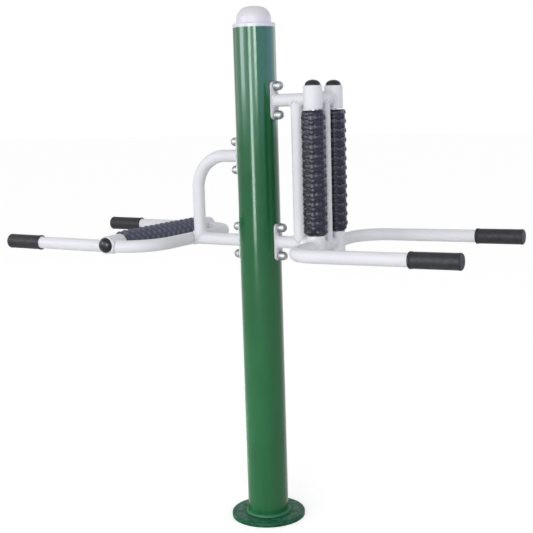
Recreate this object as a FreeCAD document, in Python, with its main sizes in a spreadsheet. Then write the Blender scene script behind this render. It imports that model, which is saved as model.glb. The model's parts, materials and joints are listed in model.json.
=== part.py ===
import FreeCAD, Part
import math
import os
import re
import Sketcher
from FreeCAD import Placement, Rotation, Vector

# Outdoor back roller station: one post, a pair of upright back rollers on +X, a waist roller on -X.
# The origin is on the post's axis at the ground. Millimetres and degrees.
SIZES = {
    # Post, foot and cap
    "post_radius": 57,
    "post_wall": 3.5,
    "post_rise": 193.5,
    "flange_radius": 104,
    "flange_thickness": 12,
    "flange_edge_round": 4,
    "foot_weld_leg": 7,
    "cap_brim_height": 11,
    "cap_brim_overhang": 0.6,
    "cap_brim_round": 3,
    "cap_dome_foot": 47.5,
    "cap_dome_shoulder": 44.5,
    "cap_dome_height": 44,
    "cap_dome_round": 33,
    "cap_skirt_length": 25,
    "cap_wall": 3,
    "push_fit_gap": 0.1,
    # Saddle plates, bolts, washers and weld nuts
    "saddle_thickness": 5,
    "saddle_height": 100,
    "saddle_angle": 36,
    "saddle_corner": 10,
    "seat_gap": 0.05,
    "bolt_offset": 38.5,
    "bolt_radius": 7,
    "bolt_hole_gap": 0.5,
    "bolt_dome_radius": 12.5,
    "bolt_dome_skirt": 7.5,
    "washer_radius": 14,
    "washer_thickness": 2.5,
    "weld_nut_corner": 12.7,
    "weld_nut_height": 11,
    "bolt_tail": 3,
    # Tubes of both units
    "tube_radius": 17,
    "tube_wall": 3,
    "lower_arm_height": 789,
    # Back roller unit
    "back_reach": 205,
    "upper_sleeve_rise": 4.5,
    "post_strut_reach": 126,
    "strut_clearance": 7.8,
    "back_handle_spread": 225,
    "back_handle_bend": 80,
    "back_handle_tip": 668,
    "back_handle_rise": 1.2,
    # Waist roller unit
    "waist_reach": 340,
    "yoke_reach": 222,
    "yoke_end_run": 4,
    "waist_axis_rise": 5,
    "waist_handle_inset": 45,
    "waist_arm_height": 1022,
    "leg_setback": 22,
    "waist_arm_bend": 92,
    "waist_handle_tip": 708,
    # Rubber grips
    "grip_radius": 20.3,
    "back_grip_length": 124,
    "waist_grip_length": 108,
    "grip_end_wall": 6,
    "grip_end_round": 5,
    # Bearing housings and what sits in them
    "housing_radius": 24.5,
    "housing_length": 60,
    "waist_housing_length": 63,
    "bearing_radius": 20,
    "bearing_width": 12,
    "bearing_recess": 6,
    "dust_cap_radius": 20.8,
    "dust_cap_height": 15,
    "dust_cap_spigot": 10,
    # Rollers
    "end_gap": 2.5,
    "axle_radius": 8.5,
    "running_gap": 0.05,
    "axle_tail": 4,
    "clip_thickness": 1.5,
    "clip_groove_depth": 0.6,
    "clip_radius": 11.5,
    "clip_angle": 305,
    "clip_gap": 0.3,
    "core_radius": 21,
    "core_wall": 3,
    "hub_length": 15,
    "hub_inset": 4,
    "ring_width": 24.6,
    "back_ring_count": 13,
    "waist_ring_count": 15,
    "ring_crest_radius": 32.2,
    "ring_valley_radius": 29.7,
    "ring_groove_radius": 28.3,
    "ring_end_taper": 3,
    "knobs_around": 10,
}

# Lengths that follow from the driving sizes
DERIVED = {
    "saddle_inside": "post_radius + seat_gap",
    "saddle_outside": "saddle_inside + saddle_thickness",
    "post_inside": "post_radius - post_wall",
    "nut_face": "sqrt(post_inside^2 - weld_nut_corner^2) - seat_gap",
    "bolt_seat": "saddle_outside + washer_thickness",
    "back_roller_length": "back_ring_count * ring_width",
    "waist_roller_length": "waist_ring_count * ring_width",
    "upper_sleeve_height": "lower_arm_height + housing_length + back_roller_length + 2 * end_gap",
    "upper_arm_height": "upper_sleeve_height - upper_sleeve_rise",
    "post_top": "upper_arm_height + post_rise",
    "roller_spread": "tube_radius + ring_crest_radius + strut_clearance",
    "waist_spread": "waist_roller_length / 2 + end_gap + waist_handle_inset",
    "waist_housing_middle": "waist_roller_length / 2 + end_gap + waist_housing_length / 2",
    "waist_axis_height": "lower_arm_height + waist_axis_rise",
    "waist_leg_reach": "yoke_reach - leg_setback",
    "yoke_bend": "waist_reach - yoke_reach - yoke_end_run",
    "dust_dome_radius": "(dust_cap_radius^2 + dust_cap_height^2) / (2 * dust_cap_height)",
    "bearing_near_face": "end_gap + bearing_recess",
    "bearing_far_face": "bearing_near_face + bearing_width",
    "clip_near_face": "bearing_far_face + clip_gap",
    "axle_overhang": "clip_near_face + clip_thickness + axle_tail",
}

MATCH = 0.01
ORIGIN = ("0", "0", "0")
TURNS = {
    "+Z": Rotation(),
    "-Z": Rotation(Vector(1, 0, 0), 180),
    "+X": Rotation(Vector(0, 1, 0), 90),
    "-X": Rotation(Vector(0, 1, 0), -90),
    "+Y": Rotation(Vector(1, 0, 0), -90),
    "-Y": Rotation(Vector(1, 0, 0), 90),
}

doc = FreeCAD.newDocument("BackRollerStation")
sheet = doc.addObject("Spreadsheet::Sheet", "Sizes")
for row, (alias, number) in enumerate(SIZES.items(), 1):
    sheet.set("A%d" % row, alias)
    sheet.set("B%d" % row, str(number))
    sheet.setAlias("B%d" % row, alias)
doc.recompute()

nodes = []


def formula(text):
    """Write out a formula in sheet aliases, following the derived lengths."""
    def swap(match):
        word = match.group(0)
        if word in DERIVED:
            return "(" + formula(DERIVED[word]) + ")"
        return "Sizes." + word if word in SIZES else word
    return re.sub(r"[a-z_]+", swap, text)


def value(text):
    """Work out a formula as a number."""
    return float(sheet.evalExpression(formula(text)))


def bind(thing, **formulas):
    for name, text in formulas.items():
        thing.setExpression(name, formula(text))


def place(thing, at, turn):
    thing.Placement = Placement(Vector(), turn)
    for axis, text in zip("xyz", at):
        thing.setExpression("Placement.Base." + axis, formula(text))
    return thing


def node(thing, label):
    """Name a finished sub-part."""
    thing.Label = label
    nodes.append(thing)
    return thing


def cylinder(name, radius, length, at=ORIGIN, along="+Z"):
    rod = doc.addObject("Part::Cylinder", name)
    bind(rod, Radius=radius, Height=length)
    return place(rod, at, TURNS[along])


def hexagon(name, corner, length, at, along):
    prism = doc.addObject("Part::Prism", name)
    prism.Polygon = 6
    bind(prism, Circumradius=corner, Height=length)
    return place(prism, at, TURNS[along])


def ball(name, radius, at, along="+Z", from_latitude="-90"):
    """A sphere, or the dome of it above one latitude."""
    sphere = doc.addObject("Part::Sphere", name)
    bind(sphere, Radius=radius, Angle1=from_latitude)
    return place(sphere, at, TURNS[along])


def quarter_bend(name, bend, radius, at, turn):
    torus = doc.addObject("Part::Torus", name)
    torus.Angle3 = 90
    bind(torus, Radius1=bend, Radius2=radius)
    return place(torus, at, turn)


def union(name, pieces):
    if len(pieces) == 1:
        return pieces[0]
    fused = doc.addObject("Part::MultiFuse", name)
    fused.Shapes = pieces
    return fused


def cut(name, base, *tools):
    result = doc.addObject("Part::Cut", name)
    result.Base = base
    result.Tool = union(name + "_tools", list(tools))
    return result


def group(label, pieces):
    compound = doc.addObject("Part::Compound", label)
    compound.Links = pieces
    return node(compound, label)


def shifted(at, along, distance):
    """A point moved along an axis by a formula."""
    sign, axis = along[0], "XYZ".index(along[1])
    moved = list(at)
    moved[axis] = "%s %s (%s)" % (at[axis], sign, distance)
    return tuple(moved)


def about_z(angle):
    return Rotation(Vector(0, 0, 1), angle)


def opposite(along):
    return ("-" if along[0] == "+" else "+") + along[1]


def circle_sketch(body, name, radius):
    sketch = body.newObject("Sketcher::SketchObject", name)
    plane = next(f for f in body.Origin.OriginFeatures if f.Role == "XY_Plane")
    sketch.AttachmentSupport = (plane, [""])
    sketch.MapMode = "FlatFace"
    circle = sketch.addGeometry(Part.Circle(Vector(), Vector(0, 0, 1), value(radius)))
    sketch.addConstraint(Sketcher.Constraint("Coincident", circle, 3, -1, 1))
    size = sketch.addConstraint(Sketcher.Constraint("Radius", circle, value(radius)))
    sketch.setExpression("Constraints[%d]" % size, formula(radius))
    return sketch


def round_pad(body, kind, foot, **formulas):
    """Add a round solid to a body, standing on the body's axis at a height."""
    shape = body.newObject("PartDesign::Additive" + kind, "%s_%s" % (body.Name, kind))
    bind(shape, **formulas)
    shape.setExpression("Placement.Base.z", formula(foot))
    return shape


def fillet(body, base, chosen, edge_round):
    """Round every edge of a body that a test picks out."""
    doc.recompute()
    edges = ["Edge%d" % number for number, edge in enumerate(base.Shape.Edges, 1) if chosen(edge)]
    rounded = body.newObject("PartDesign::Fillet", body.Name + "_round")
    rounded.Base = (base, edges)
    bind(rounded, Radius=edge_round)
    return rounded


def round_over(body, base, height, radius, edge_round):
    """Fillet the round edge of a body that lies at one height and radius."""
    def on_rim(edge):
        if edge.Curve.TypeId != "Part::GeomCircle":
            return False
        off_height = abs(edge.Curve.Center.z - value(height))
        off_radius = abs(edge.Curve.Radius - value(radius))
        return max(off_height, off_radius) < MATCH
    return fillet(body, base, on_rim, edge_round)


def rounded_disc(label, radius, length, edge_round):
    """A body with one round pad whose far edge is rounded over."""
    body = doc.addObject("PartDesign::Body", label)
    pad = body.newObject("PartDesign::Pad", label + "_pad")
    pad.Profile = circle_sketch(body, label + "_outline", radius)
    bind(pad, Length=length)
    round_over(body, pad, length, radius, edge_round)
    return node(body, label)


# Post, foot and cap
SADDLES = (
    ("back_upper_saddle", "+X", "upper_arm_height"),
    ("back_lower_saddle", "+X", "lower_arm_height"),
    ("waist_upper_saddle", "-X", "waist_arm_height"),
    ("waist_lower_saddle", "-X", "lower_arm_height"),
)
BOLTS = [
    (along, height + sign + "bolt_offset")
    for name, along, height in SADDLES
    for sign in (" + ", " - ")
]


def bolt_holes(name):
    """Clearance holes for every bolt, from the post's axis outwards."""
    return [
        cylinder(name, "bolt_radius + bolt_hole_gap", "2 * post_radius", ("0", "0", height), along)
        for along, height in BOLTS
    ]


def make_post():
    foot = ("0", "0", "flange_thickness")
    rounded_disc("base_flange", "flange_radius", "flange_thickness", "flange_edge_round")
    cone = doc.addObject("Part::Cone", "weld_cone")
    bind(cone, Radius1="post_radius + foot_weld_leg", Radius2="post_radius", Height="foot_weld_leg")
    place(cone, foot, Rotation())
    node(cut("foot_weld", cone, cylinder("weld_inside", "post_radius", "post_top")), "foot_weld")
    outside = cylinder("post_outside", "post_radius", "post_top - flange_thickness", foot)
    bore = cylinder("post_bore", "post_inside", "post_top", ORIGIN)
    node(cut("post", outside, bore, *bolt_holes("post_hole")), "post")


def make_post_cap():
    """A domed shell whose brim rests on the post and whose skirt plugs into it."""
    brim_top = "cap_skirt_length + cap_brim_height"
    brim_radius = "post_radius + cap_brim_overhang"
    outside = doc.addObject("PartDesign::Body", "cap_outside")
    round_pad(outside, "Cylinder", "0", Radius="post_inside - push_fit_gap", Height="cap_skirt_length")
    round_pad(outside, "Cylinder", "cap_skirt_length", Radius=brim_radius, Height="cap_brim_height")
    dome = round_pad(outside, "Cone", brim_top, Radius1="cap_dome_foot", Radius2="cap_dome_shoulder",
                     Height="cap_dome_height")
    crown = round_over(outside, dome, brim_top + " + cap_dome_height", "cap_dome_shoulder", "cap_dome_round")
    round_over(outside, crown, brim_top, brim_radius, "cap_brim_round")
    inside = doc.addObject("PartDesign::Body", "cap_inside")
    round_pad(inside, "Cylinder", "0", Radius="cap_dome_foot - cap_wall", Height=brim_top)
    hollow_dome = round_pad(inside, "Cone", brim_top, Radius1="cap_dome_foot - cap_wall",
                            Radius2="cap_dome_shoulder - cap_wall", Height="cap_dome_height - cap_wall")
    round_over(inside, hollow_dome, brim_top + " + cap_dome_height - cap_wall",
               "cap_dome_shoulder - cap_wall", "cap_dome_round - cap_wall")
    for body in (outside, inside):
        place(body, ("0", "0", "post_top - cap_skirt_length"), Rotation())
    node(cut("post_cap", outside, inside), "post_cap")


# Saddle plates and their fasteners
def make_saddles():
    """Plates rolled to the post, with rounded corners and two bolt holes each."""
    half_turn = {"+X": 0, "-X": 180}

    def at_corner(edge):
        across = edge.Curve.TypeId == "Part::GeomLine"
        return across and abs(edge.Length - value("saddle_thickness")) < MATCH

    for name, along, height in SADDLES:
        body = doc.addObject("PartDesign::Body", name + "_plate")
        round_pad(body, "Cylinder", "0", Radius="saddle_outside", Height="saddle_height",
                  Angle="saddle_angle")
        rolled = body.newObject("PartDesign::SubtractiveCylinder", name + "_inside")
        bind(rolled, Radius="saddle_inside", Height="saddle_height")
        fillet(body, rolled, at_corner, "saddle_corner")
        turn = about_z(half_turn[along] - value("saddle_angle") / 2)
        place(body, ("0", "0", height + " - saddle_height / 2"), turn)
        node(cut(name, body, *bolt_holes(name + "_hole")), name)


def make_fasteners():
    bolts, washers, weld_nuts = [], [], []
    for along, height in BOLTS:
        axis = ("0", "0", height)
        seat = shifted(axis, along, "bolt_seat")
        crown = shifted(axis, along, "bolt_seat + bolt_dome_skirt")
        nut_back = shifted(axis, along, "nut_face - weld_nut_height")
        tail = shifted(axis, along, "nut_face - weld_nut_height - bolt_tail")
        shank_length = "bolt_seat - nut_face + weld_nut_height + bolt_tail"
        shank = cylinder("bolt_shank", "bolt_radius", shank_length, tail, along)
        skirt = cylinder("bolt_skirt", "bolt_dome_radius", "bolt_dome_skirt", seat, along)
        dome = ball("bolt_dome", "bolt_dome_radius", crown, along, from_latitude="0")
        bolts.append(union("saddle_bolt", [shank, skirt, dome]))
        face = shifted(axis, along, "saddle_outside")
        disc = cylinder("washer_disc", "washer_radius", "washer_thickness", face, along)
        hole = cylinder("washer_hole", "bolt_radius + bolt_hole_gap", "2 * post_radius", axis, along)
        washers.append(cut("saddle_washer", disc, hole))
        block = hexagon("nut_block", "weld_nut_corner", "weld_nut_height", nut_back, along)
        thread = cylinder("nut_thread", "bolt_radius + seat_gap", "2 * post_radius", axis, along)
        weld_nuts.append(cut("saddle_weld_nut", block, thread))
    group("saddle_bolts", bolts)
    group("saddle_washers", washers)
    group("saddle_weld_nuts", weld_nuts)


# Tube work. Every tube is first a solid outside and a bore, then coped by the outsides it meets.
outsides = {}
bores = {}


def straight(name, at, along, length):
    outsides[name] = cylinder(name + "_outside", "tube_radius", length, at, along)
    bores[name] = cylinder(name + "_bore", "tube_radius - tube_wall", length, at, along)


def bent(name, runs, bends):
    """A tube of straight runs (point, direction, length) and quarter bends (centre, radius, turn)."""
    for store, radius in ((outsides, "tube_radius"), (bores, "tube_radius - tube_wall")):
        pieces = [cylinder(name + "_run", radius, length, at, along) for at, along, length in runs]
        pieces += [quarter_bend(name + "_bend", bend, radius, at, turn) for at, bend, turn in bends]
        store[name] = union(name + "_route", pieces)


def coped(name, *meets):
    node(cut(name, outsides[name], bores[name], *[outsides[other] for other in meets]), name)


SIDES = (("near", "-"), ("far", ""))
SLEEVE_LEVELS = (("upper", "upper_sleeve_height"), ("lower", "lower_arm_height"))


def make_housing(name, centre, along, length):
    end = shifted(centre, opposite(along), length + " / 2")
    outsides[name] = cylinder(name + "_outside", "housing_radius", length, end, along)
    bores[name] = cylinder(name + "_bore", "bearing_radius + push_fit_gap", length, end, along)
    coped(name)


def make_housings():
    for side, sign in SIDES:
        for level, height in SLEEVE_LEVELS:
            centre = ("back_reach", sign + "roller_spread", height)
            make_housing("back_%s_%s_housing" % (side, level), centre, "+Z", "housing_length")
        centre = ("-waist_reach", sign + "waist_housing_middle", "waist_axis_height")
        make_housing("waist_%s_housing" % side, centre, "+Y", "waist_housing_length")


# The back handles rise a little from the sleeves' plane to their grips.
HANDLE_RISE = Rotation(Vector(0, 1, 0), -value("back_handle_rise"))
TURNS["handle"] = HANDLE_RISE.multiply(TURNS["+X"])


def along_back_handle(distance):
    """The x and z of a point on a back handle, by its distance from the sleeves' plane."""
    across = "back_reach + (%s) * cos(back_handle_rise)" % distance
    return across, "lower_arm_height + (%s) * sin(back_handle_rise)" % distance


def make_back_frame():
    upper, lower = "upper_arm_height", "lower_arm_height"
    strut_length = "upper_arm_height - lower_arm_height"
    for level, height in (("upper", upper), ("lower", lower)):
        straight("back_%s_arm" % level, ("0", "0", height), "+X", "back_reach")
        cross_end = ("back_reach", "-roller_spread", height)
        straight("back_%s_cross_tube" % level, cross_end, "+Y", "2 * roller_spread")
    straight("back_post_strut", ("post_strut_reach", "0", lower), "+Z", strut_length)
    straight("back_centre_strut", ("back_reach", "0", lower), "+Z", strut_length)
    far_turn = about_z(90)
    near_turn = Rotation(Vector(1, 0, 0), 180).multiply(far_turn)
    for side, along, sign, turn in (("near", "-Y", "-", near_turn), ("far", "+Y", "", far_turn)):
        bend_y = sign + "(back_handle_spread - back_handle_bend)"
        bend_x, bend_z = along_back_handle("back_handle_bend")
        runs = (
            (("back_reach", sign + "roller_spread", lower), along,
             "back_handle_spread - back_handle_bend - roller_spread"),
            ((bend_x, sign + "back_handle_spread", bend_z), "handle",
             "back_handle_tip - grip_end_wall - back_reach - back_handle_bend"),
        )
        bends = (((bend_x, bend_y, bend_z), "back_handle_bend", HANDLE_RISE.multiply(turn)),)
        bent("back_%s_handle" % side, runs, bends)
    for level in ("upper", "lower"):
        sleeves = ["back_%s_%s_housing" % (side, level) for side in ("near", "far")]
        coped("back_%s_cross_tube" % level, *sleeves)
        coped("back_%s_arm" % level, "saddle_outside", "back_%s_cross_tube" % level)
    coped("back_post_strut", "back_upper_arm", "back_lower_arm")
    coped("back_centre_strut", "back_upper_arm", "back_lower_arm",
          "back_upper_cross_tube", "back_lower_cross_tube")
    for side in ("near", "far"):
        coped("back_%s_handle" % side, "back_%s_lower_housing" % side)


def make_waist_frame():
    lower = "lower_arm_height"
    arm_down = Rotation(Vector(0, 0, 1), Vector(-1, 0, 0), Vector(0, -1, 0), "XYZ")
    leg_top = "waist_arm_height - waist_arm_bend"
    bent("waist_upper_arm", (
        (("0", "0", "waist_arm_height"), "-X", "waist_leg_reach - waist_arm_bend"),
        (("-waist_leg_reach", "0", leg_top), "-Z", leg_top + " - lower_arm_height"),
    ), ((("waist_arm_bend - waist_leg_reach", "0", leg_top), "waist_arm_bend", arm_down),))
    straight("waist_lower_arm", ("0", "0", lower), "-X", "yoke_reach")
    bend_x = "-(yoke_reach + yoke_bend)"
    bend_y = "waist_spread - yoke_bend"
    bent("waist_yoke", (
        (("-yoke_reach", "-(%s)" % bend_y, lower), "+Y", "2 * (%s)" % bend_y),
        ((bend_x, "-waist_spread", lower), "-X", "yoke_end_run"),
        ((bend_x, "waist_spread", lower), "-X", "yoke_end_run"),
    ), (
        ((bend_x, "-(%s)" % bend_y, lower), "yoke_bend", about_z(270)),
        ((bend_x, bend_y, lower), "yoke_bend", about_z(0)),
    ))
    for side, sign in SIDES:
        straight("waist_%s_handle" % side, ("-waist_reach", sign + "waist_spread", lower), "-X",
                 "waist_handle_tip - grip_end_wall - waist_reach")
        coped("waist_%s_handle" % side, "waist_%s_housing" % side)
    coped("waist_yoke", "waist_near_housing", "waist_far_housing")
    coped("waist_lower_arm", "saddle_outside", "waist_yoke")
    coped("waist_upper_arm", "saddle_outside", "waist_lower_arm", "waist_yoke")


def make_grips():
    back_mouth = along_back_handle("back_handle_tip - back_reach - back_grip_length")
    waist_mouth = ("waist_grip_length - waist_handle_tip", "lower_arm_height")
    for unit, along, (mouth_x, mouth_z), spread in (
        ("back", "handle", back_mouth, "back_handle_spread"),
        ("waist", "-X", waist_mouth, "waist_spread"),
    ):
        length = unit + "_grip_length"
        for side, sign in SIDES:
            name = "%s_%s_grip" % (unit, side)
            body = rounded_disc(name, "grip_radius", length, "grip_end_round")
            socket = body.newObject("PartDesign::Pocket", name + "_socket")
            socket.Profile = circle_sketch(body, name + "_mouth", "tube_radius + seat_gap")
            socket.Reversed = True
            bind(socket, Length=length + " - grip_end_wall + seat_gap")
            place(body, (mouth_x, sign + spread, mouth_z), TURNS[along])


# Rollers. Each starts at the inner end of its first ring and runs along its own axis.
ROLLERS = (
    ("back_near", ("back_reach", "-roller_spread", "lower_arm_height + housing_length / 2 + end_gap"),
     "+Z", "back_ring_count", "housing_length"),
    ("back_far", ("back_reach", "roller_spread", "lower_arm_height + housing_length / 2 + end_gap"),
     "+Z", "back_ring_count", "housing_length"),
    ("waist", ("-waist_reach", "-waist_roller_length / 2", "waist_axis_height"),
     "+Y", "waist_ring_count", "waist_housing_length"),
)


def hollow(name, radius, inside, length, at, along):
    return cut(name, cylinder(name + "_outside", radius, length, at, along),
               cylinder(name + "_inside", inside, length, at, along))


def dust_cap(name, seat, outward):
    """A domed plug on the outer end of a housing."""
    drop = "dust_dome_radius - dust_cap_height"
    dome = ball(name + "_dome", "dust_dome_radius", shifted(seat, opposite(outward), drop), outward,
                from_latitude="asin((%s) / dust_dome_radius)" % drop)
    spigot = cylinder(name + "_spigot", "bearing_radius", "dust_cap_spigot", seat, opposite(outward))
    return union(name, [dome, spigot])


def corner_row(even_radius, odd_radius, height):
    """Corners round the ring that alternate between two radii."""
    corners = 2 * round(value("knobs_around"))
    row = []
    for corner in range(corners):
        angle = 2 * math.pi * corner / corners
        radius = odd_radius if corner % 2 else even_radius
        row.append(Vector(radius * math.cos(angle), radius * math.sin(angle), height))
    return row


def flat_face(*corners):
    return Part.Face(Part.makePolygon([*corners, corners[0]]))


def facets_between(low, high):
    """Two triangles for each gap between two rows. Their shared edge leans to and fro in turn."""
    faces = []
    for here in range(len(low)):
        after = (here + 1) % len(low)
        if here % 2:
            faces.append(flat_face(low[here], low[after], high[after]))
            faces.append(flat_face(low[here], high[after], high[here]))
        else:
            faces.append(flat_face(low[here], low[after], high[here]))
            faces.append(flat_face(low[after], high[after], high[here]))
    return faces


def massage_ring(first_taper, last_taper):
    """One ring with two staggered rows of pointed knobs between its flat ends."""
    width = value("ring_width")
    crest, valley = value("ring_crest_radius"), value("ring_valley_radius")
    groove = value("ring_groove_radius")
    first, last = groove - first_taper, groove - last_taper
    bottom = corner_row(first, first, 0)
    low_knobs = corner_row(crest, valley, width / 4)
    high_knobs = corner_row(valley, crest, width * 3 / 4)
    top = corner_row(last, last, width)
    faces = [flat_face(*bottom), flat_face(*top)]
    faces += facets_between(bottom, low_knobs)
    faces += facets_between(low_knobs, high_knobs)
    faces += facets_between(high_knobs, top)
    shell = Part.makeShell(faces)
    shell.sewShape()
    solid = Part.makeSolid(shell)
    if solid.Volume < 0:
        solid.reverse()
    return solid.cut(Part.makeCylinder(value("core_radius + seat_gap"), width))


def massage_rings(count):
    """A row of rings whose two end rings taper to the outside."""
    taper = value("ring_end_taper")
    middle = massage_ring(0, 0)
    rings = [massage_ring(taper, 0)] + [middle] * (count - 2) + [massage_ring(0, taper)]
    step = Vector(0, 0, value("ring_width"))
    return Part.makeCompound([ring.translated(step * number) for number, ring in enumerate(rings)])


def make_roller(name, start, along, count, housing):
    back = opposite(along)
    length = "%s * ring_width" % count
    far = shifted(start, along, length)
    ends = ((start, back), (far, along))
    axle_start = shifted(start, back, "axle_overhang")
    axle = cylinder(name + "_rod", "axle_radius", length + " + 2 * axle_overhang", axle_start, along)
    grooves, clips, bearings, hubs, caps = [], [], [], [], []
    for end, outward in ends:
        clip_at = shifted(end, outward, "clip_near_face")
        groove_floor = "axle_radius - clip_groove_depth"
        grooves.append(hollow(name + "_groove", "clip_radius", groove_floor, "clip_thickness",
                              clip_at, outward))
        clip = hollow(name + "_clip", "clip_radius", groove_floor + " + seat_gap",
                      "clip_thickness - seat_gap", clip_at, outward)
        bind(clip.Base, Angle="clip_angle")
        clips.append(clip)
        bearings.append(hollow(name + "_bearing", "bearing_radius", "axle_radius + running_gap",
                               "bearing_width", shifted(end, outward, "bearing_near_face"), outward))
        hub_at = shifted(end, opposite(outward), "hub_inset")
        hubs.append(hollow(name + "_hub", "core_radius - core_wall - seat_gap", "axle_radius + seat_gap",
                           "hub_length", hub_at, opposite(outward)))
        caps.append(dust_cap(name + "_dust_cap", shifted(end, outward, "end_gap + " + housing), outward))
    node(cut(name + "_axle", axle, *grooves), name + "_axle")
    node(hollow(name + "_core_tube", "core_radius", "core_radius - core_wall", length, start, along),
         name + "_core_tube")
    group(name + "_hubs", hubs)
    group(name + "_retaining_rings", clips)
    group(name + "_bearings", bearings)
    group(name + "_dust_caps", caps)
    rings = doc.addObject("Part::Feature", name + "_massage_rings")
    rings.Shape = massage_rings(round(value(count)))
    place(rings, start, TURNS[along])
    node(rings, name + "_massage_rings")


def write_parts():
    doc.recompute()
    for thing in doc.Objects:
        if "Invalid" in thing.State or "Error" in thing.State:
            raise RuntimeError("failed: " + thing.Label)
    for thing in nodes:
        if thing.Shape.isNull() or not thing.Shape.isValid() or not thing.Shape.Solids:
            raise RuntimeError("bad shape: " + thing.Label)
    os.makedirs("parts", exist_ok=True)
    for thing in nodes:
        thing.Shape.exportStep("parts/%s.step" % thing.Label)
        print(thing.Label, len(thing.Shape.Solids), round(thing.Shape.Volume))


make_post()
make_post_cap()
make_saddles()
make_fasteners()
outsides["saddle_outside"] = cylinder("saddle_round", "saddle_outside", "post_top")
make_housings()
make_back_frame()
make_waist_frame()
make_grips()
for roller in ROLLERS:
    make_roller(*roller)
write_parts()
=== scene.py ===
import json
import math
from collections import namedtuple

import bmesh
import bpy
from mathutils import Matrix, Vector


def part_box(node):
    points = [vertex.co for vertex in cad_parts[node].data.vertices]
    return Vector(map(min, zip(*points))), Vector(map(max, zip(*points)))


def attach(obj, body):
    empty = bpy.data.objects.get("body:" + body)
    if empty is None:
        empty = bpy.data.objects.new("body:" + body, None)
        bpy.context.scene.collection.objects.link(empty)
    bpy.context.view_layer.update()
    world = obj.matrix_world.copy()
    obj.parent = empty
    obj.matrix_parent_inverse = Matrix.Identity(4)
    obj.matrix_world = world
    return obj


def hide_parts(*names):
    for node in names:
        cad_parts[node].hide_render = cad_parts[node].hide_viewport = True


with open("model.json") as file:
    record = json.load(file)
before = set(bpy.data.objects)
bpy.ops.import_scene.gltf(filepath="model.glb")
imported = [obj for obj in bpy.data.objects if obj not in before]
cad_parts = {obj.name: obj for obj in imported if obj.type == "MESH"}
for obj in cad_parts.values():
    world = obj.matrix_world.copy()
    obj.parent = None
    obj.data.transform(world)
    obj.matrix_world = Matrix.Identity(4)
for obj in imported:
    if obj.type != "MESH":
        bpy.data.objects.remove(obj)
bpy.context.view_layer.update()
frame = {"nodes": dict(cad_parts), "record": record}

FIXED_BODY = "station_frame"
MM = 0.001
MICRON = 0.000001
FULL_TURN = 2 * math.pi
ALONG = Vector((1, 0, 0))
ACROSS = Vector((0, 1, 0))
UP = Vector((0, 0, 1))
BLACK = (0, 0, 0)
WHITE = (1, 1, 1)

# Camera at the photograph's viewing angle, with its place in metres and its sensor in millimetres
FRAME_PIXELS = 533
FOCAL_PIXELS = 1040.22
SENSOR_WIDTH = 36
VIEW_AZIMUTH = math.radians(31.283)
VIEW_PITCH = math.radians(8.929)
VIEW_ROLL = math.radians(-1.716)
VIEW_DISTANCE = 2.84114
VIEW_HEIGHT = 1.16318
VIEW_OFFSET = 0.01451

view_right = Vector((math.cos(VIEW_AZIMUTH), math.sin(VIEW_AZIMUTH), 0))
view_ahead = Vector((-math.sin(VIEW_AZIMUTH), math.cos(VIEW_AZIMUTH), 0))


def make_camera():
    """A camera that looks slightly down at the post and leans a little, as the photograph does."""
    data = bpy.data.cameras.new("view")
    data.sensor_width = SENSOR_WIDTH
    data.lens = SENSOR_WIDTH * FOCAL_PIXELS / FRAME_PIXELS
    camera = bpy.data.objects.new("view", data)
    bpy.context.scene.collection.objects.link(camera)
    ahead = view_ahead * math.cos(VIEW_PITCH) - UP * math.sin(VIEW_PITCH)
    level_up = view_right.cross(ahead)
    right = view_right * math.cos(VIEW_ROLL) + level_up * math.sin(VIEW_ROLL)
    up = level_up * math.cos(VIEW_ROLL) - view_right * math.sin(VIEW_ROLL)
    facing = Matrix((right, up, -ahead)).transposed().to_4x4()
    stand = view_right * VIEW_OFFSET - view_ahead * VIEW_DISTANCE + UP * VIEW_HEIGHT
    camera.matrix_world = Matrix.Translation(stand) @ facing
    bpy.context.scene.camera = camera


# Materials. Most of a noise lies between its low and high
NOISE_LOW = 0.3
NOISE_HIGH = 0.7
SHELTER_SAMPLES = 8

# A mix node has sockets of the same name for numbers and for colours, so these go by their order
MIX_FACTOR_IN = 0
MIX_COLOURS_IN = (6, 7)
MIX_COLOUR_OUT = 2


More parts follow.
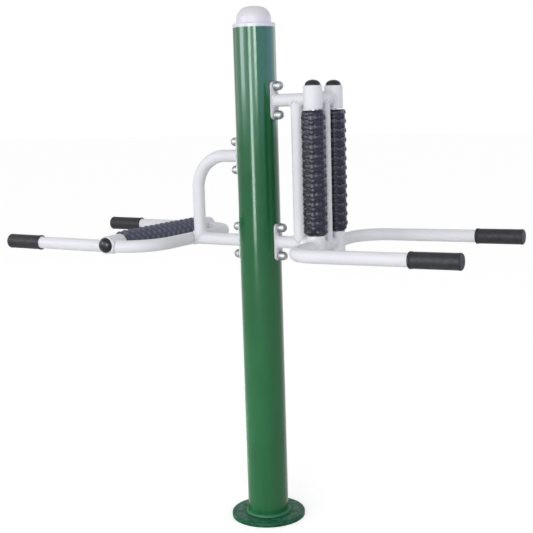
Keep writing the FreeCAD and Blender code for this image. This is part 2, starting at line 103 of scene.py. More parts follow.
class Shader:
    """A node material with one principled surface, and short ways to add detail to it."""

    def __init__(self, name, metallic=0.0, specular=0.5):
        self.material = bpy.data.materials.new(name)
        self.material.use_nodes = True
        self.tree = self.material.node_tree
        self.surface = self.tree.nodes["Principled BSDF"]
        self.surface.inputs["Metallic"].default_value = metallic
        self.surface.inputs["Specular IOR Level"].default_value = specular
        self.place = self.node("ShaderNodeTexCoord").outputs["Object"]

    def node(self, kind, **values):
        """A new node with some of its settings given."""
        made = self.tree.nodes.new(kind)
        for key, value in values.items():
            setattr(made, key, value)
        return made

    def link(self, source, target):
        """Join a node's output to another node's input."""
        self.tree.links.new(source, target)

    def stretch(self, scale):
        """The place on the object, scaled along each axis."""
        mapping = self.node("ShaderNodeMapping")
        mapping.inputs["Scale"].default_value = scale
        self.link(self.place, mapping.inputs["Vector"])
        return mapping.outputs["Vector"]

    def noise(self, scale, detail, roughness=0.5, place=None):
        """Soft noise over the object, or over a stretched place."""
        made = self.node("ShaderNodeTexNoise")
        made.inputs["Scale"].default_value = scale
        made.inputs["Detail"].default_value = detail
        made.inputs["Roughness"].default_value = roughness
        self.link(place or self.place, made.inputs["Vector"])
        return made.outputs["Fac"]

    def pits(self, scale):
        """Small hollows all over the object."""
        made = self.node("ShaderNodeTexVoronoi")
        made.inputs["Scale"].default_value = scale
        self.link(self.place, made.inputs["Vector"])
        return made.outputs["Distance"]

    def girth(self, radius):
        """How far a place lies from the upright axis, as a share of a radius."""
        made = self.node("ShaderNodeVectorMath", operation="LENGTH")
        self.link(self.stretch((1 / radius, 1 / radius, 0)), made.inputs[0])
        return made.outputs["Value"]

    def attribute(self, name):
        """A value that the mesh holds at each of its points."""
        return self.node("ShaderNodeAttribute", attribute_name=name).outputs["Fac"]

    def shelter(self, distance):
        """How open a place is, from 0 deep in a corner to 1."""
        made = self.node("ShaderNodeAmbientOcclusion", samples=SHELTER_SAMPLES)
        made.inputs["Distance"].default_value = distance
        return made.outputs["AO"]

    def ramp(self, factor, *stops):
        """A colour for each value of a factor, from stops of (value, colour)."""
        made = self.node("ShaderNodeValToRGB")
        elements = made.color_ramp.elements
        while len(elements) < len(stops):
            elements.new(1.0)
        for element, (position, colour) in zip(elements, stops):
            element.position = position
            element.color = (*colour, 1)
        self.link(factor, made.inputs["Fac"])
        return made.outputs["Color"]

    def blend(self, factor, low, high, start=NOISE_LOW, end=NOISE_HIGH):
        """A colour that runs from low to high while a factor runs from start to end."""
        return self.ramp(factor, (start, low), (end, high))

    def mix(self, factor, *colours):
        """Two colours mixed by a factor, each of them from a node or plain."""
        made = self.node("ShaderNodeMix", data_type="RGBA")
        self.link(factor, made.inputs[MIX_FACTOR_IN])
        for index, colour in zip(MIX_COLOURS_IN, colours):
            if isinstance(colour, bpy.types.NodeSocket):
                self.link(colour, made.inputs[index])
            else:
                made.inputs[index].default_value = (*colour, 1)
        return made.outputs[MIX_COLOUR_OUT]

    def span(self, factor, low, high):
        """A noise stretched to run from low to high."""
        made = self.node("ShaderNodeMapRange")
        made.inputs["From Min"].default_value = NOISE_LOW
        made.inputs["From Max"].default_value = NOISE_HIGH
        made.inputs["To Min"].default_value = low
        made.inputs["To Max"].default_value = high
        self.link(factor, made.inputs["Value"])
        return made.outputs["Result"]

    def colour(self, source):
        """Colour the surface."""
        self.link(source, self.surface.inputs["Base Color"])

    def roughness(self, factor, low, high):
        """Let the surface's roughness follow a noise from low to high."""
        self.link(self.span(factor, low, high), self.surface.inputs["Roughness"])

    def bumps(self, *layers):
        """Stack bump layers of (height, depth in metres) on the surface."""
        normal = None
        for height, depth in layers:
            made = self.node("ShaderNodeBump")
            made.inputs["Strength"].default_value = 1.0
            made.inputs["Distance"].default_value = depth
            self.link(height, made.inputs["Height"])
            if normal:
                self.link(normal, made.inputs["Normal"])
            normal = made.outputs["Normal"]
        self.link(normal, self.surface.inputs["Normal"])


def paint(name, dark, light, corner_shade, roughness, peel, wave, specular, corner):
    """Outdoor paint with orange peel on longer waves, faint blotches and painted shade that darkens it in the
    corners.
    """
    made = Shader(name, specular=specular)
    blotches = made.blend(made.noise(scale=7, detail=4), dark, light)
    # Painted shade: the colour darkens toward the corner shade colour where the surface is sheltered in
    # corners and between parts
    corners = made.blend(made.shelter(corner), WHITE, BLACK, start=0.25, end=0.75)
    made.colour(made.mix(corners, blotches, corner_shade))
    made.roughness(made.noise(scale=30, detail=3), *roughness)
    made.bumps((made.noise(scale=380, detail=1), peel), (made.noise(scale=60, detail=1), wave))
    return made.material


def post_paint():
    """Glossy green paint."""
    return paint("gloss_green_paint", dark=(0.008, 0.101, 0.031), light=(0.011, 0.121, 0.038),
                 corner_shade=(0.003, 0.06, 0.02), roughness=(0.14, 0.2), peel=20 * MICRON, wave=60 * MICRON,
                 specular=0.3, corner=12 * MM)


def weld_paint():
    """Duller green paint, brushed on over the weld, and lighter than the post's paint, partly as a painted
    highlight along the bead.
    """
    return paint("brushed_green_paint", dark=(0.012, 0.115, 0.042), light=(0.02, 0.15, 0.062),
                 corner_shade=(0.006, 0.08, 0.028), roughness=(0.4, 0.55), peel=40 * MICRON, wave=120 * MICRON,
                 specular=0.2, corner=12 * MM)


# The white paint's corner shade reaches furthest, as painted shade in the recesses between the tubes and
# rollers
def frame_paint():
    """White paint on the tubes."""
    return paint("gloss_white_paint", dark=(0.76, 0.76, 0.81), light=(0.80, 0.80, 0.84),
                 corner_shade=(0.42, 0.42, 0.45), roughness=(0.38, 0.5), peel=30 * MICRON, wave=90 * MICRON,
                 specular=0.14, corner=37 * MM)


def flange_paint():
    """The foot's paint: green by the weld, paler and mottled further out, partly as weathering and partly as
    a painted reflection of the sky, and dark at its rim as painted shade.
    """
    made = Shader("weathered_green_paint", specular=0.07)
    green = (0.008, 0.13, 0.042)
    pale = (0.045, 0.175, 0.125)
    dark = (0.016, 0.115, 0.05)
    stain = (0.006, 0.06, 0.03)
    outward = made.girth(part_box("base_flange")[1].x)
    # Painted light: the pale band stands partly for a painted sky reflection, and the dark rim is painted
    # shade under and along the edge
    worn = made.ramp(outward, (0.66, green), (0.76, pale), (0.88, pale), (0.97, dark))
    clean = made.blend(made.noise(scale=60, detail=5, roughness=0.7), BLACK, WHITE, start=0.4, end=0.56)
    made.colour(made.mix(clean, stain, worn))
    made.roughness(made.noise(scale=50, detail=4), low=0.26, high=0.44)
    made.bumps((made.noise(scale=300, detail=2), 40 * MICRON), (made.noise(scale=45, detail=2), 200 * MICRON))
    return made.material


def cap_plastic():
    """Pale moulded plastic of the post's cap."""
    made = Shader("moulded_cap_plastic", specular=0.4)
    made.colour(made.blend(made.noise(scale=18, detail=4), (0.66, 0.64, 0.71), (0.72, 0.70, 0.76)))
    made.roughness(made.noise(scale=60, detail=2), low=0.36, high=0.5)
    made.bumps((made.noise(scale=700, detail=2), 30 * MICRON), (made.noise(scale=35, detail=1), 200 * MICRON))
    return made.material


def ring_rubber(name, valley, crest, roughness):
    """Moulded rubber, paler on the worn crests of its knobs."""
    made = Shader(name, specular=0.2)
    worn = made.blend(made.attribute("crest"), valley, crest, start=0.25, end=1)
    dust = made.blend(made.noise(scale=45, detail=5), BLACK, (0.35, 0.35, 0.35), start=0.5, end=0.9)
    made.colour(made.mix(dust, worn, (0.04, 0.04, 0.048)))
    made.roughness(made.noise(scale=120, detail=3), *roughness)
    made.bumps((made.noise(scale=1100, detail=2), 20 * MICRON), (made.pits(scale=500), 20 * MICRON))
    return made.material


def massage_rubber():
    """Blue-black rubber of the back rollers."""
    return ring_rubber("massage_rubber", valley=(0.014, 0.014, 0.023), crest=(0.039, 0.037, 0.057),
                       roughness=(0.24, 0.32))


def waist_rubber():
    """The waist roller's rubber, painted paler and bluer as a painted sheen for the reflection on its sides
    at grazing angles, and duller.
    """
    # Painted sheen: these paler, bluer colours stand for the light its sides reflect at grazing angles
    return ring_rubber("faded_massage_rubber", valley=(0.064, 0.067, 0.104), crest=(0.122, 0.131, 0.194),
                       roughness=(0.42, 0.54))


def grip_rubber():
    """Black rubber of the hand grips."""
    made = Shader("grip_rubber", specular=0.19)
    specks = made.noise(scale=90, detail=5)
    made.colour(made.blend(specks, (0.018, 0.017, 0.021), (0.035, 0.034, 0.039), end=0.75))
    made.roughness(made.noise(scale=70, detail=3), low=0.45, high=0.62)
    made.bumps((made.pits(scale=800), 50 * MICRON), (made.noise(scale=1500, detail=2), 40 * MICRON))
    return made.material


def dust_cap_plastic():
    """Black shiny plastic of the dust caps."""
    made = Shader("dust_cap_plastic", specular=0.25)
    specks = made.noise(scale=80, detail=4)
    made.colour(made.blend(specks, (0.008, 0.007, 0.009), (0.016, 0.015, 0.018), end=0.75))
    made.roughness(made.noise(scale=90, detail=3), low=0.24, high=0.38)
    made.bumps((made.noise(scale=900, detail=2), 30 * MICRON))
    return made.material


def bright_steel():
    """Plated steel of the bolts and washers."""
    made = Shader("bright_plated_steel", metallic=1.0)
    made.colour(made.blend(made.noise(scale=160, detail=4), (0.24, 0.24, 0.24), (0.33, 0.33, 0.33)))
    made.roughness(made.noise(scale=260, detail=3), low=0.42, high=0.56)
    made.bumps((made.noise(scale=900, detail=2), 20 * MICRON))
    return made.material


def plain_steel():
    """Steel with fine turning lines, for the axles and other parts inside."""
    made = Shader("turned_steel", metallic=1.0)
    made.colour(made.blend(made.noise(scale=120, detail=4), (0.40, 0.40, 0.41), (0.55, 0.55, 0.56)))
    lines = made.noise(scale=900, detail=2, roughness=0.6, place=made.stretch((0.05, 1, 1)))
    made.roughness(lines, low=0.28, high=0.46)
    made.bumps((lines, 20 * MICRON))
    return made.material


materials = {
    "post_paint": post_paint(),
    "weld_paint": weld_paint(),
    "flange_paint": flange_paint(),
    "frame_paint": frame_paint(),
    "cap_plastic": cap_plastic(),
    "massage_rubber": massage_rubber(),
    "waist_rubber": waist_rubber(),
    "grip_rubber": grip_rubber(),
    "dust_cap_plastic": dust_cap_plastic(),
    "bright_steel": bright_steel(),
    "plain_steel": plain_steel(),
}

# Pieces that have a material of their own instead of their slot's
OWN_MATERIAL = {
    "base_flange": "flange_paint",
    "foot_weld_bead": "weld_paint",
    "waist_knobbed_rings": "waist_rubber",
}


def dress_cad_nodes():
    """Give every packed sub-part the material of its slot."""
    for row in frame["record"]["subparts"]:
        mesh = frame["nodes"][row["node"]].data
        mesh.materials.clear()
        mesh.materials.append(materials[OWN_MATERIAL.get(row["node"], row["material_slot"])])


# Mesh helpers
SHARP_ANGLE = math.radians(38)
TURNED_SEGMENTS = 64


def skin(form, rows, loop=False):
    """Join rows of points into a surface, and return its points row by row.

    A row of one point is a pole, and a loop joins the last row to the first.
    """
    made = [[form.verts.new(point) for point in row] for row in rows]
    pairs = list(zip(made, made[1:]))
    if loop:
        pairs.append((made[-1], made[0]))
    for low, high in pairs:
        count = max(len(low), len(high))
        for here in range(count):
            after = (here + 1) % count
            if len(low) == 1:
                form.faces.new((low[0], high[after], high[here]))
            elif len(high) == 1:
                form.faces.new((low[here], low[after], high[0]))
            else:
                form.faces.new((low[here], low[after], high[after], high[here]))
    return made


def round_point(radius, angle, height):
    """A point at a radius, angle and height from an upright axis, from millimetres to metres."""
    return Vector((radius * math.cos(angle), radius * math.sin(angle), height)) * MM


def lathe(form, profile, place, segments=TURNED_SEGMENTS, loop=False):
    """Add a turned shape: the profile holds (radius, height) in millimetres, and place is its matrix."""
    rows = []
    for radius, height in profile:
        steps = segments if radius else 1
        angles = [FULL_TURN * step / steps for step in range(steps)]
        rows.append([place @ round_point(radius, angle, height) for angle in angles])
    skin(form, rows, loop)


def rounded_corner(radius, height, bend, from_angle, to_angle, steps=4):
    """Points of an arc round a corner of a profile, in millimetres and degrees."""
    points = []
    for step in range(steps + 1):
        angle = math.radians(from_angle + (to_angle - from_angle) * step / steps)
        points.append((radius + bend * math.cos(angle), height + bend * math.sin(angle)))
    return points


def add_piece(name, form, body, slot, stands_for=()):
    """Make a form into an object that rides on a body and may stand for CAD nodes."""
    bmesh.ops.recalc_face_normals(form, faces=form.faces)
    mesh = bpy.data.meshes.new(name)
    form.to_mesh(mesh)
    form.free()
    mesh.shade_smooth()
    mesh.set_sharp_from_angle(angle=SHARP_ANGLE)
    mesh.materials.append(materials[OWN_MATERIAL.get(name, slot)])
    piece = bpy.data.objects.new(name, mesh)
    bpy.context.scene.collection.objects.link(piece)
    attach(piece, body)
    if stands_for:
        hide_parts(*stands_for)


def toward(point, direction):
    """A place at a point, with its own Z along a direction."""
    return Matrix.Translation(point) @ direction.to_track_quat("Z", "Y").to_matrix().to_4x4()


def middle(node):
    """The middle of a node's box."""
    low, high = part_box(node)
    return (low + high) / 2


def extent(node, direction):
    """The length of a node's box along one of the axes."""
    low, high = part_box(node)
    return (high - low).dot(direction)


# The three rollers: name, body, axis, the ends that their sleeves are named by, and turn in degrees
Roller = namedtuple("Roller", "name body axis ends turn")
ROLLERS = (
    Roller("back_near", "back_roller_near", UP, ("upper", "lower"), turn=18),
    Roller("back_far", "back_roller_far", UP, ("upper", "lower"), turn=57),
    Roller("waist", "waist_roller", ACROSS, ("near", "far"), turn=0),
)

# Massage rings, in millimetres
RING_WIDTH = 24.6
RING_GAP = 0.06
RING_BORE = 21.05
RING_LAND = 29.5
RING_SEGMENTS = 120
RING_STEPS = 22
KNOBS_AROUND = 6
KNOB_RISE = 2.7
KNOB_HALF_LENGTH = 8.2
KNOB_HALF_WIDTH = 7.2
KNOB_SQUARENESS = 2.1
KNOB_ROUNDNESS = 0.75
LIP_DROP = 0.25
LIP_WIDTH = 1
END_TAPER = 3.4
END_TAPER_WIDTH = 11


def knob(angle, height):
    """How high a knob stands at a place on a ring, from 0 to 1."""
    pitch = FULL_TURN / KNOBS_AROUND
    best = 0
    for row, shift in ((RING_WIDTH / 4, 0), (RING_WIDTH * 3 / 4, pitch / 2)):
        across = (angle - shift + pitch / 2) % pitch - pitch / 2
        along = abs(height - row) / KNOB_HALF_WIDTH
        around = abs(across) * RING_LAND / KNOB_HALF_LENGTH
        spread = along ** KNOB_SQUARENESS + around ** KNOB_SQUARENESS
        if spread < 1:
            best = max(best, (1 - spread) ** KNOB_ROUNDNESS)
    return best


def dip(distance, drop, width):
    """How far a rounded edge has dropped at a distance from it."""
    return drop * (1 - min(1, distance / width)) ** 2


def ring_radius(angle, height, first, last):
    """A ring's radius at a place on it. The first and last ring of a row taper at their outer end."""
    radius = RING_LAND + KNOB_RISE * knob(angle, height)
    radius -= dip(height, LIP_DROP, LIP_WIDTH) + dip(RING_WIDTH - height, LIP_DROP, LIP_WIDTH)
    if first:
        radius -= dip(height, END_TAPER, END_TAPER_WIDTH)
    if last:
        radius -= dip(RING_WIDTH - height, END_TAPER, END_TAPER_WIDTH)
    return radius


def ring_rows(first, last):
    """Rows of (radius, angle, height) up the outside of a ring and back down its bore."""
    angles = [FULL_TURN * step / RING_SEGMENTS for step in range(RING_SEGMENTS)]
    face = RING_WIDTH - 2 * RING_GAP
    heights = [RING_GAP + face * step / RING_STEPS for step in range(RING_STEPS + 1)]
    rows = []
    for height in heights:
        rows.append([(ring_radius(angle, height, first, last), angle, height) for angle in angles])
    for height in (heights[-1], heights[0]):
        rows.append([(RING_BORE, angle, height) for angle in angles])
    return rows


def make_massage_rings():
    """A row of knobbed rings on each roller, each point marked with how near a knob's crest it is."""
    for roller in ROLLERS:
        node = roller.name + "_massage_rings"
        length = extent(node, roller.axis)
        start = middle(node) - roller.axis * length / 2
        place = toward(start, roller.axis) @ Matrix.Rotation(math.radians(roller.turn), 4, "Z")
        count = round(length / (RING_WIDTH * MM))
        form = bmesh.new()
        crest = form.verts.layers.float.new("crest")
        for number in range(count):
            rise = number * RING_WIDTH
            rows = ring_rows(first=(number == 0), last=(number == count - 1))
            points = [
                [place @ round_point(radius, angle, height + rise) for radius, angle, height in row]
                for row in rows
            ]
            for row, made in zip(rows, skin(form, points, loop=True)):
                for (_, angle, height), point in zip(row, made):
                    point[crest] = knob(angle, height)
        add_piece(roller.name + "_knobbed_rings", form, roller.body, "massage_rubber", [node])


# Hand grips, in millimetres, with their groove as points of (radius, height)
GRIP_BORE = 17.05
GRIP_MOUTH_EASE = 0.8
GRIP_RIM = 20.9
GRIP_RIM_ROUND = 1.5
GRIP_GROOVE = ((20.9, 5), (20.6, 5.8), (19.4, 6.4), (19.4, 7.2), (19.9, 8), (20, 10))
GRIP_BODY = 20
GRIP_TIP = 20.5
GRIP_TIP_ROUND = 4
GRIP_TIP_STEPS = 6
GRIP_FLARE_START = 6
GRIP_FLARE_END = 2
GRIP_END_WALL = 6
GRIP_CROWN_RADIUS = 6
GRIP_CROWN = 0.1
HANDLE_RISE = math.radians(1.2)
Grip = namedtuple("Grip", "unit axis solid_length length")
GRIPS = (
    Grip("back", ALONG * math.cos(HANDLE_RISE) + UP * math.sin(HANDLE_RISE), solid_length=124, length=128),
    Grip("waist", -ALONG, solid_length=108, length=119),
)


def grip_profile(length):
    """A grip's outline from the end of its bore, round its rim and groove, to its crowned tip."""
    inside = length - GRIP_END_WALL
    tip = length - GRIP_TIP_ROUND
    profile = [(0, inside), (GRIP_BORE, inside)]
    profile += [(GRIP_BORE, GRIP_MOUTH_EASE), (GRIP_BORE + GRIP_MOUTH_EASE, 0)]
    profile += rounded_corner(GRIP_RIM - GRIP_RIM_ROUND, GRIP_RIM_ROUND, GRIP_RIM_ROUND, -90, 0)
    profile += GRIP_GROOVE
    profile += [(GRIP_BODY, tip - GRIP_FLARE_START), (GRIP_TIP, tip - GRIP_FLARE_END)]
    profile += rounded_corner(GRIP_TIP - GRIP_TIP_ROUND, tip, GRIP_TIP_ROUND, 0, 90, GRIP_TIP_STEPS)
    profile += [(GRIP_CROWN_RADIUS, length - GRIP_CROWN), (0, length)]
    return profile


def make_grips():
    """Rubber grips on the four handles. Each ends where its solid ends, and reaches further inward."""
    for grip in GRIPS:
        profile = grip_profile(grip.length)
        for side in ("near", "far"):
            node = "%s_%s_grip" % (grip.unit, side)
            mouth = middle(node) + grip.axis * (grip.solid_length / 2 - grip.length) * MM
            form = bmesh.new()
            lathe(form, profile, toward(mouth, grip.axis))
            add_piece(node.replace("grip", "hand_grip"), form, FIXED_BODY, "grip_rubber", [node])


# Bearing sleeves, in millimetres
SLEEVE_RADIUS = 24.5
SLEEVE_BORE = 20.1
SLEEVE_BORE_EASE = 0.5
SLEEVE_EDGE = 1.4


def sleeve_profile(length):
    """A sleeve's outline, with eased ends."""
    inner = SLEEVE_RADIUS - SLEEVE_EDGE
    profile = [(SLEEVE_BORE, SLEEVE_BORE_EASE), (SLEEVE_BORE + SLEEVE_BORE_EASE, 0)]
    profile += rounded_corner(inner, SLEEVE_EDGE, SLEEVE_EDGE, -90, 0)
    profile += rounded_corner(inner, length - SLEEVE_EDGE, SLEEVE_EDGE, 0, 90)
    profile += [(SLEEVE_BORE + SLEEVE_BORE_EASE, length), (SLEEVE_BORE, length - SLEEVE_BORE_EASE)]
    return profile


def make_sleeves():
    """A bearing sleeve at each end of each roller."""
    for roller in ROLLERS:
        for end in roller.ends:
            node = "%s_%s_housing" % (roller.name, end)
            length = extent(node, roller.axis)
            place = toward(middle(node) - roller.axis * length / 2, roller.axis)
            form = bmesh.new()
            lathe(form, sleeve_profile(length / MM), place, loop=True)
            add_piece(node.replace("housing", "sleeve"), form, FIXED_BODY, "frame_paint", [node])


# Dust caps, in millimetres
CAP_HEIGHT = 15
CAP_RIM = 20.75
CAP_RIM_HEIGHT = 2.2
CAP_RIM_EASE = 0.4
CAP_LEDGE = 0.5
CAP_SEAT = 0.02
CAP_SPIGOT = 20
CAP_SPIGOT_DEPTH = 10
CAP_SPIGOT_EASE = 0.6
CAP_DOME_STEPS = 9


def cap_profile():
    """A cap's outline from its spigot, over its moulded rim, to the top of its dome."""
    bottom = -CAP_SPIGOT_DEPTH
    rim_top = CAP_RIM - CAP_RIM_EASE
    dome_radius = CAP_RIM - CAP_LEDGE
    dome_rise = CAP_HEIGHT - CAP_RIM_HEIGHT
    profile = [(0, bottom), (CAP_SPIGOT - CAP_SPIGOT_EASE, bottom)]
    profile += [(CAP_SPIGOT, bottom + CAP_SPIGOT_EASE), (CAP_SPIGOT, CAP_SEAT)]
    profile += [(rim_top, CAP_SEAT), (CAP_RIM, CAP_RIM_EASE)]
    profile += [(CAP_RIM, CAP_RIM_HEIGHT - CAP_LEDGE), (rim_top, CAP_RIM_HEIGHT)]
    for step in range(CAP_DOME_STEPS):
        angle = math.pi / 2 * step / CAP_DOME_STEPS
        profile.append((dome_radius * math.cos(angle), CAP_RIM_HEIGHT + dome_rise * math.sin(angle)))
    profile.append((0, CAP_HEIGHT))
    return profile


def make_dust_caps():
    """Black domed plugs on both ends of each roller's sleeves."""
    profile = cap_profile()
    for roller in ROLLERS:
        node = roller.name + "_dust_caps"
        half = extent(node, roller.axis) / 2
        form = bmesh.new()
        for outward in (roller.axis, -roller.axis):
            place = toward(middle(node) + outward * (half - CAP_HEIGHT * MM), outward)
            lathe(form, profile, place)
        add_piece(roller.name + "_domed_plugs", form, FIXED_BODY, "dust_cap_plastic", [node])


# Dome bolts and their washers, in millimetres
BOLT_SEGMENTS = 72
BOLT_OFFSET = 38.5
DOME_RADIUS = 12.5
DOME_FOOT = 1.2
DOME_LEDGE = 0.4
DOME_SKIRT = 7.5
DOME_STEPS = 10
SHANK_LENGTH = 26.6
SHANK_RADIUS = 7
THREAD_PITCH = 2
THREAD_DEPTH = 0.9
WASHER_INSIDE = 7.5
WASHER_OUTSIDE = 14
WASHER_THICKNESS = 2.5
WASHER_EDGE = 0.5
WASHER_EDGE_STEPS = 2
SADDLE_SIDES = (
    ("back_upper_saddle", ALONG),
    ("back_lower_saddle", ALONG),
    ("waist_upper_saddle", -ALONG),
    ("waist_lower_saddle", -ALONG),
)


def bolt_profile():
    """A bolt's outline: a shank with thread crests below its seat, and a domed head above it."""
    root = SHANK_RADIUS - THREAD_DEPTH
    dome = DOME_RADIUS - DOME_LEDGE
    profile = [(0, -SHANK_LENGTH), (root, -SHANK_LENGTH)]
    for turn in range(int(SHANK_LENGTH / THREAD_PITCH) - 1):
        foot = THREAD_PITCH * (turn + 0.5) - SHANK_LENGTH
        profile += [(SHANK_RADIUS, foot), (root, foot + THREAD_PITCH / 2)]
    profile += [(SHANK_RADIUS, 0), (DOME_RADIUS, 0)]
    profile += [(DOME_RADIUS, DOME_FOOT), (dome, DOME_FOOT + DOME_LEDGE)]
    arc = rounded_corner(0, DOME_SKIRT, dome, 0, 90, DOME_STEPS)
    profile += arc[:-1]
    profile.append((0, DOME_SKIRT + dome))
    return profile


def washer_profile():
    """A washer's outline below the bolt's seat, with eased outer edges."""
    flat = WASHER_OUTSIDE - WASHER_EDGE
    profile = [(WASHER_INSIDE, -WASHER_THICKNESS)]
    profile += rounded_corner(flat, WASHER_EDGE - WASHER_THICKNESS, WASHER_EDGE, -90, 0, WASHER_EDGE_STEPS)
    profile += rounded_corner(flat, -WASHER_EDGE, WASHER_EDGE, 0, 90, WASHER_EDGE_STEPS)
    profile.append((WASHER_INSIDE, 0))
    return profile


def make_bolts():
    """Two bolts with washers on each saddle plate."""
    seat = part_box("saddle_washers")[1].x
    bolt = bolt_profile()
    washer = washer_profile()
    bolts = bmesh.new()
    washers = bmesh.new()
    for node, outward in SADDLE_SIDES:
        for lift in (BOLT_OFFSET, -BOLT_OFFSET):
            height = middle(node).z + lift * MM
            place = toward(outward * seat + UP * height, outward)
            lathe(bolts, bolt, place, BOLT_SEGMENTS)
            lathe(washers, washer, place, BOLT_SEGMENTS, loop=True)
    add_piece("dome_head_bolts", bolts, FIXED_BODY, "bright_steel", ["saddle_bolts"])
    add_piece("bolt_washers", washers, FIXED_BODY, "bright_steel", ["saddle_washers"])


# Weld beads where tubes meet, in metres
TUBE = 17 * MM
SADDLE = 62.05 * MM
SLEEVE = SLEEVE_RADIUS * MM
BEAD = 3.2 * MM
BEAD_STEPS = 144
BEAD_SIDES = 8
RIPPLE_PITCH = 4.2 * MM
RIPPLE = 0.13
JUST_PAST = MICRON


class Round:
    """A round surface that a tube ends on: a point on its axis, its direction and radius.

    One that starts at its point is there only past it.
    """

    def __init__(self, point, along, radius, starts=False):
        self.point = Vector(point)
        self.along = along
        self.radius = radius
        self.starts = starts

    def hit(self, rim, direction):
        """How far along a direction a point on the tube's rim leaves this surface."""
        offset = rim - self.point
        flat = offset - self.along * offset.dot(self.along)
        slope = direction - self.along * direction.dot(self.along)
        steepness = slope.dot(slope)
        lean = flat.dot(slope)
        inside = lean * lean - steepness * (flat.dot(flat) - self.radius ** 2)
        if inside < 0:
            return None
        distance = (math.sqrt(inside) - lean) / steepness
        if self.starts and (rim + direction * distance - self.point).dot(self.along) < JUST_PAST:
            return None
        return distance


def bead(form, start, direction, *meets):
    """A rippled bead round a tube's end, where it meets one or more round surfaces."""
    start = Vector(start)
    side = direction.orthogonal().normalized()
    other = direction.cross(side)
    outs = []
    points = []
    for step in range(BEAD_STEPS):
        angle = FULL_TURN * step / BEAD_STEPS
        out = side * math.cos(angle) + other * math.sin(angle)
        rim = start + out * TUBE
        hits = [surface.hit(rim, direction) for surface in meets]
        reach = max((hit for hit in hits if hit is not None), default=0)
        outs.append(out)
        points.append(rim + direction * reach)
    length = sum((points[step] - points[step - 1]).length for step in range(BEAD_STEPS))
    ripples = round(length / RIPPLE_PITCH)
    rows = []
    travelled = 0
    for step in range(BEAD_STEPS):
        before, here, after = points[step - 1], points[step], points[(step + 1) % BEAD_STEPS]
        travelled += (here - before).length
        ahead = (after - before).normalized()
        out = (outs[step] - ahead * outs[step].dot(ahead)).normalized()
        up = ahead.cross(out)
        swell = BEAD * (1 + RIPPLE * math.sin(FULL_TURN * ripples * travelled / length))
        turns = [FULL_TURN * corner / BEAD_SIDES for corner in range(BEAD_SIDES)]
        rows.append([here + (out * math.cos(turn) + up * math.sin(turn)) * swell for turn in turns])
    skin(form, rows, loop=True)


def make_back_beads():
    """Beads of the back unit, at the ends of its arms, struts, cross tubes and handles."""
    form = bmesh.new()
    post = Round((0, 0, 0), UP, SADDLE)
    reach = middle("back_upper_cross_tube").x
    strut = middle("back_post_strut").x
    for level, inward in (("upper", -UP), ("lower", UP)):
        height = middle("back_%s_arm" % level).z
        cross = Round((reach, 0, height), ACROSS, TUBE)
        arm = Round((strut, 0, height), ALONG, TUBE)
        arm_end = Round((reach, 0, height), -ALONG, TUBE, starts=True)
        bead(form, (0, 0, height), ALONG, post)
        bead(form, (reach, 0, height), -ALONG, cross)
        bead(form, (strut, 0, height), inward, arm)
        bead(form, (reach, 0, height), inward, cross, arm_end)
        for side, outward in (("near", -ACROSS), ("far", ACROSS)):
            sleeve = middle("back_%s_%s_housing" % (side, level))
            joint = (sleeve.x, sleeve.y, height)
            around = Round(sleeve, UP, SLEEVE)
            bead(form, joint, -outward, around)
            if level == "lower":
                bead(form, joint, outward, around)
    add_piece("back_frame_weld_beads", form, FIXED_BODY, "frame_paint")


def make_waist_beads():
    """Beads of the waist unit, at the ends of its arms and round its sleeves."""
    form = bmesh.new()
    post = Round((0, 0, 0), UP, SADDLE)
    arm_height = middle("waist_lower_arm").z
    top_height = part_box("waist_upper_arm")[1].z - TUBE
    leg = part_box("waist_upper_arm")[0].x + TUBE
    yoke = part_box("waist_yoke")[1].x - TUBE
    yoke_run = Round((yoke, 0, arm_height), ACROSS, TUBE)
    arm_run = Round((leg, 0, arm_height), ALONG, TUBE)
    for height in (arm_height, top_height):
        bead(form, (0, 0, height), -ALONG, post)
    bead(form, (yoke, 0, arm_height), ALONG, yoke_run)
    bead(form, (leg, 0, arm_height), UP, arm_run, yoke_run)
    for side in ("near", "far"):
        spread = middle("waist_%s_handle" % side).y
        sleeve = middle("waist_%s_housing" % side)
        around = Round(sleeve, ACROSS, SLEEVE)
        for direction in (ALONG, -ALONG):
            bead(form, (sleeve.x, spread, arm_height), direction, around)
    add_piece("waist_frame_weld_beads", form, FIXED_BODY, "frame_paint")


# The weld round the post's foot, in millimetres, with its section as shares of its leg
FOOT_RADIUS = 57
FOOT_LEG = 7.4
FOOT_STEPS = 240
FOOT_RIPPLE = 0.05
FOOT_RIPPLES = 84
FOOT_WAVE = 0.04
FOOT_WAVES = 5
FOOT_SECTION = ((-0.06, 0.98), (0.3, 0.9), (0.62, 0.68), (0.86, 0.4), (0.98, -0.04), (-0.06, -0.04))


def make_foot_weld():
    """The weld round the post's foot, with the ripples and waves a welder leaves."""
    flange_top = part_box("base_flange")[1].z / MM
    rows = []
    for step in range(FOOT_STEPS):
        angle = FULL_TURN * step / FOOT_STEPS
        swell = FOOT_RIPPLE * math.sin(FOOT_RIPPLES * angle) + FOOT_WAVE * math.sin(FOOT_WAVES * angle)
        leg = FOOT_LEG * (1 + swell)
        rows.append([round_point(FOOT_RADIUS + out * leg, angle, flange_top + up * leg)
                     for out, up in FOOT_SECTION])
    form = bmesh.new()
    skin(form, rows, loop=True)
    add_piece("foot_weld_bead", form, FIXED_BODY, "post_paint", ["foot_weld"])


# Floor and sky
FLOOR_HALF = 30
FLOOR_COLOUR = (0.7, 0.7, 0.7, 1)
FLOOR_LIFT = 0.54
SKY_LIGHT = 0.88
SKY_LEAN = -0.03 * view_right - 0.42 * UP


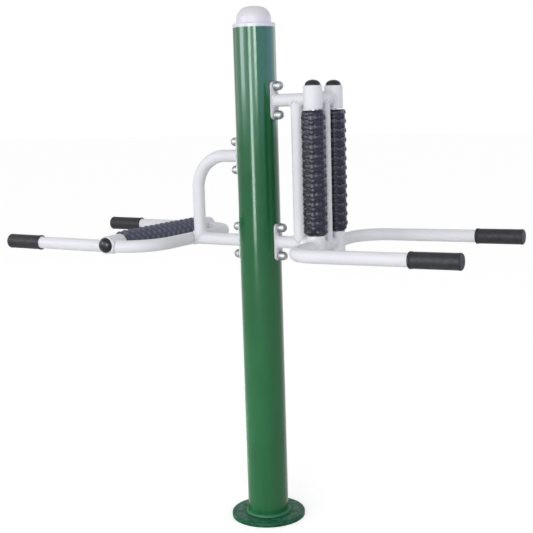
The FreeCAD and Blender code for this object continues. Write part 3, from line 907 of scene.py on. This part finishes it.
def calculate(tree, operation, *terms):
    """A math node whose terms come from nodes or are plain numbers."""
    made = tree.nodes.new("ShaderNodeMath")
    made.operation = operation
    for socket, term in zip(made.inputs, terms):
        if isinstance(term, bpy.types.NodeSocket):
            tree.links.new(term, socket)
        else:
            socket.default_value = term
    return made.outputs["Value"]


def seen_rays(tree):
    """One where a ray comes from the camera, a reflection or through glass."""
    rays = tree.nodes.new("ShaderNodeLightPath").outputs
    direct = calculate(tree, "MAXIMUM", rays["Is Camera Ray"], rays["Is Glossy Ray"])
    return calculate(tree, "MAXIMUM", direct, rays["Is Transmission Ray"])


def make_floor():
    """A pale floor that is lifted to near white where it is seen, and keeps the shadow."""
    mesh = bpy.data.meshes.new("floor")
    corners = [(-1, -1), (1, -1), (1, 1), (-1, 1)]
    mesh.from_pydata([(x * FLOOR_HALF, y * FLOOR_HALF, 0) for x, y in corners], [], [(0, 1, 2, 3)])
    floor = bpy.data.objects.new("floor", mesh)
    bpy.context.scene.collection.objects.link(floor)
    material = bpy.data.materials.new("floor")
    material.use_nodes = True
    tree = material.node_tree
    tree.nodes.clear()
    matt = tree.nodes.new("ShaderNodeBsdfDiffuse")
    matt.inputs["Color"].default_value = FLOOR_COLOUR
    lift = tree.nodes.new("ShaderNodeEmission")
    tree.links.new(calculate(tree, "MULTIPLY", seen_rays(tree), FLOOR_LIFT), lift.inputs["Strength"])
    both = tree.nodes.new("ShaderNodeAddShader")
    tree.links.new(matt.outputs["BSDF"], both.inputs[0])
    tree.links.new(lift.outputs["Emission"], both.inputs[1])
    output = tree.nodes.new("ShaderNodeOutputMaterial")
    tree.links.new(both.outputs["Shader"], output.inputs["Surface"])
    mesh.materials.append(material)


def make_world():
    """A sky that is white where it is seen, and whose light on matt surfaces fades toward overhead."""
    world = bpy.data.worlds.new("studio")
    bpy.context.scene.world = world
    world.use_nodes = True
    tree = world.node_tree
    lean = tree.nodes.new("ShaderNodeVectorMath")
    lean.operation = "DOT_PRODUCT"
    lean.inputs[1].default_value = SKY_LEAN
    tree.links.new(tree.nodes.new("ShaderNodeTexCoord").outputs["Generated"], lean.inputs[0])
    daylight = calculate(tree, "MULTIPLY_ADD", lean.outputs["Value"], SKY_LIGHT, SKY_LIGHT)
    strength = tree.nodes.new("ShaderNodeMapRange")
    strength.inputs["To Max"].default_value = 1.0
    tree.links.new(daylight, strength.inputs["To Min"])
    tree.links.new(seen_rays(tree), strength.inputs["Value"])
    sky = tree.nodes["Background"]
    sky.inputs["Color"].default_value = (*WHITE, 1)
    tree.links.new(strength.outputs["Result"], sky.inputs["Strength"])


# Lamps, in metres, watts and degrees to the right of the camera as seen from the post
AIM_HEIGHT = 0.9
COOL = (0.86, 1, 0.96)

# Strips that the gloss paint shows as bright lines: name, angle, distance, height, size and power
STRIPS = (
    ("tall_strip", -27, 2.2, 1.08, (0.5, 1.14), 36),
    ("left_strip", -71, 2.4, 1.5, (0.95, 0.6), 24),
    ("front_strip", 3, 3.6, 1.65, (0.75, 0.8), 54),
)

# Panels all round that stand for a bluish sky in the gloss: angle, width, colour and power
SKY_PANEL_DISTANCE = 4.2
SKY_PANEL_HEIGHT = 1.71
SKY_PANEL_TALL = 1.4
SKY_PANELS = (
    (-108, 3.4, (0.8, 0.85, 1), 28),
    (-64, 3.4, (0.7, 0.7, 1), 60),
    (-15, 1.9, (0.75, 0.88, 1), 44),
    (38, 3.4, (0.34, 0.4, 1), 58),
    (84, 3.4, (0.34, 0.4, 1), 62),
    (126, 3.4, (0.7, 0.85, 1), 30),
)


def softbox(name, angle, distance, height, size, power, aim=None, colour=WHITE,
            matt=True, gloss=True, spread=180):
    """A lit panel that faces the post, level or at the height it aims for. It lights matt, gloss or both."""
    turn = math.radians(angle)
    stand = (view_right * math.sin(turn) - view_ahead * math.cos(turn)) * distance + UP * height
    target = UP * (height if aim is None else aim)
    data = bpy.data.lights.new(name, "AREA")
    data.shape = "RECTANGLE"
    data.size, data.size_y = size
    data.energy = power
    data.color = colour
    data.spread = math.radians(spread)
    panel = bpy.data.objects.new(name, data)
    panel.location = stand
    panel.rotation_euler = (stand - target).to_track_quat("Z", "Y").to_euler()
    panel.visible_camera = False
    panel.visible_diffuse = matt
    panel.visible_glossy = gloss
    bpy.context.scene.collection.objects.link(panel)


def make_lights():
    """Soft panels for the matt light, and strips and sky panels for the gloss."""
    softbox("key_panel", angle=-52, distance=5.5, height=2.6, size=(3, 3), power=26, aim=AIM_HEIGHT)
    softbox("front_panel", angle=-18, distance=5, height=1.3, size=(2.5, 2.5), power=80, aim=AIM_HEIGHT,
            gloss=False)
    softbox("low_side_panel", angle=-70, distance=2.6, height=0.28, size=(0.5, 0.5), power=0.65,
            gloss=False, spread=20)
    for name, angle, distance, height, size, power in STRIPS:
        softbox(name, angle, distance, height, size, power, colour=COOL, matt=False)
    for angle, width, colour, power in SKY_PANELS:
        softbox("sky_panel", angle, SKY_PANEL_DISTANCE, SKY_PANEL_HEIGHT, (width, SKY_PANEL_TALL), power,
                colour=colour, matt=False)


bpy.context.scene.view_settings.view_transform = "Standard"
make_camera()
dress_cad_nodes()
make_massage_rings()
make_grips()
make_sleeves()
make_dust_caps()
make_bolts()
make_back_beads()
make_waist_beads()
make_foot_weld()
make_floor()
make_world()
make_lights()
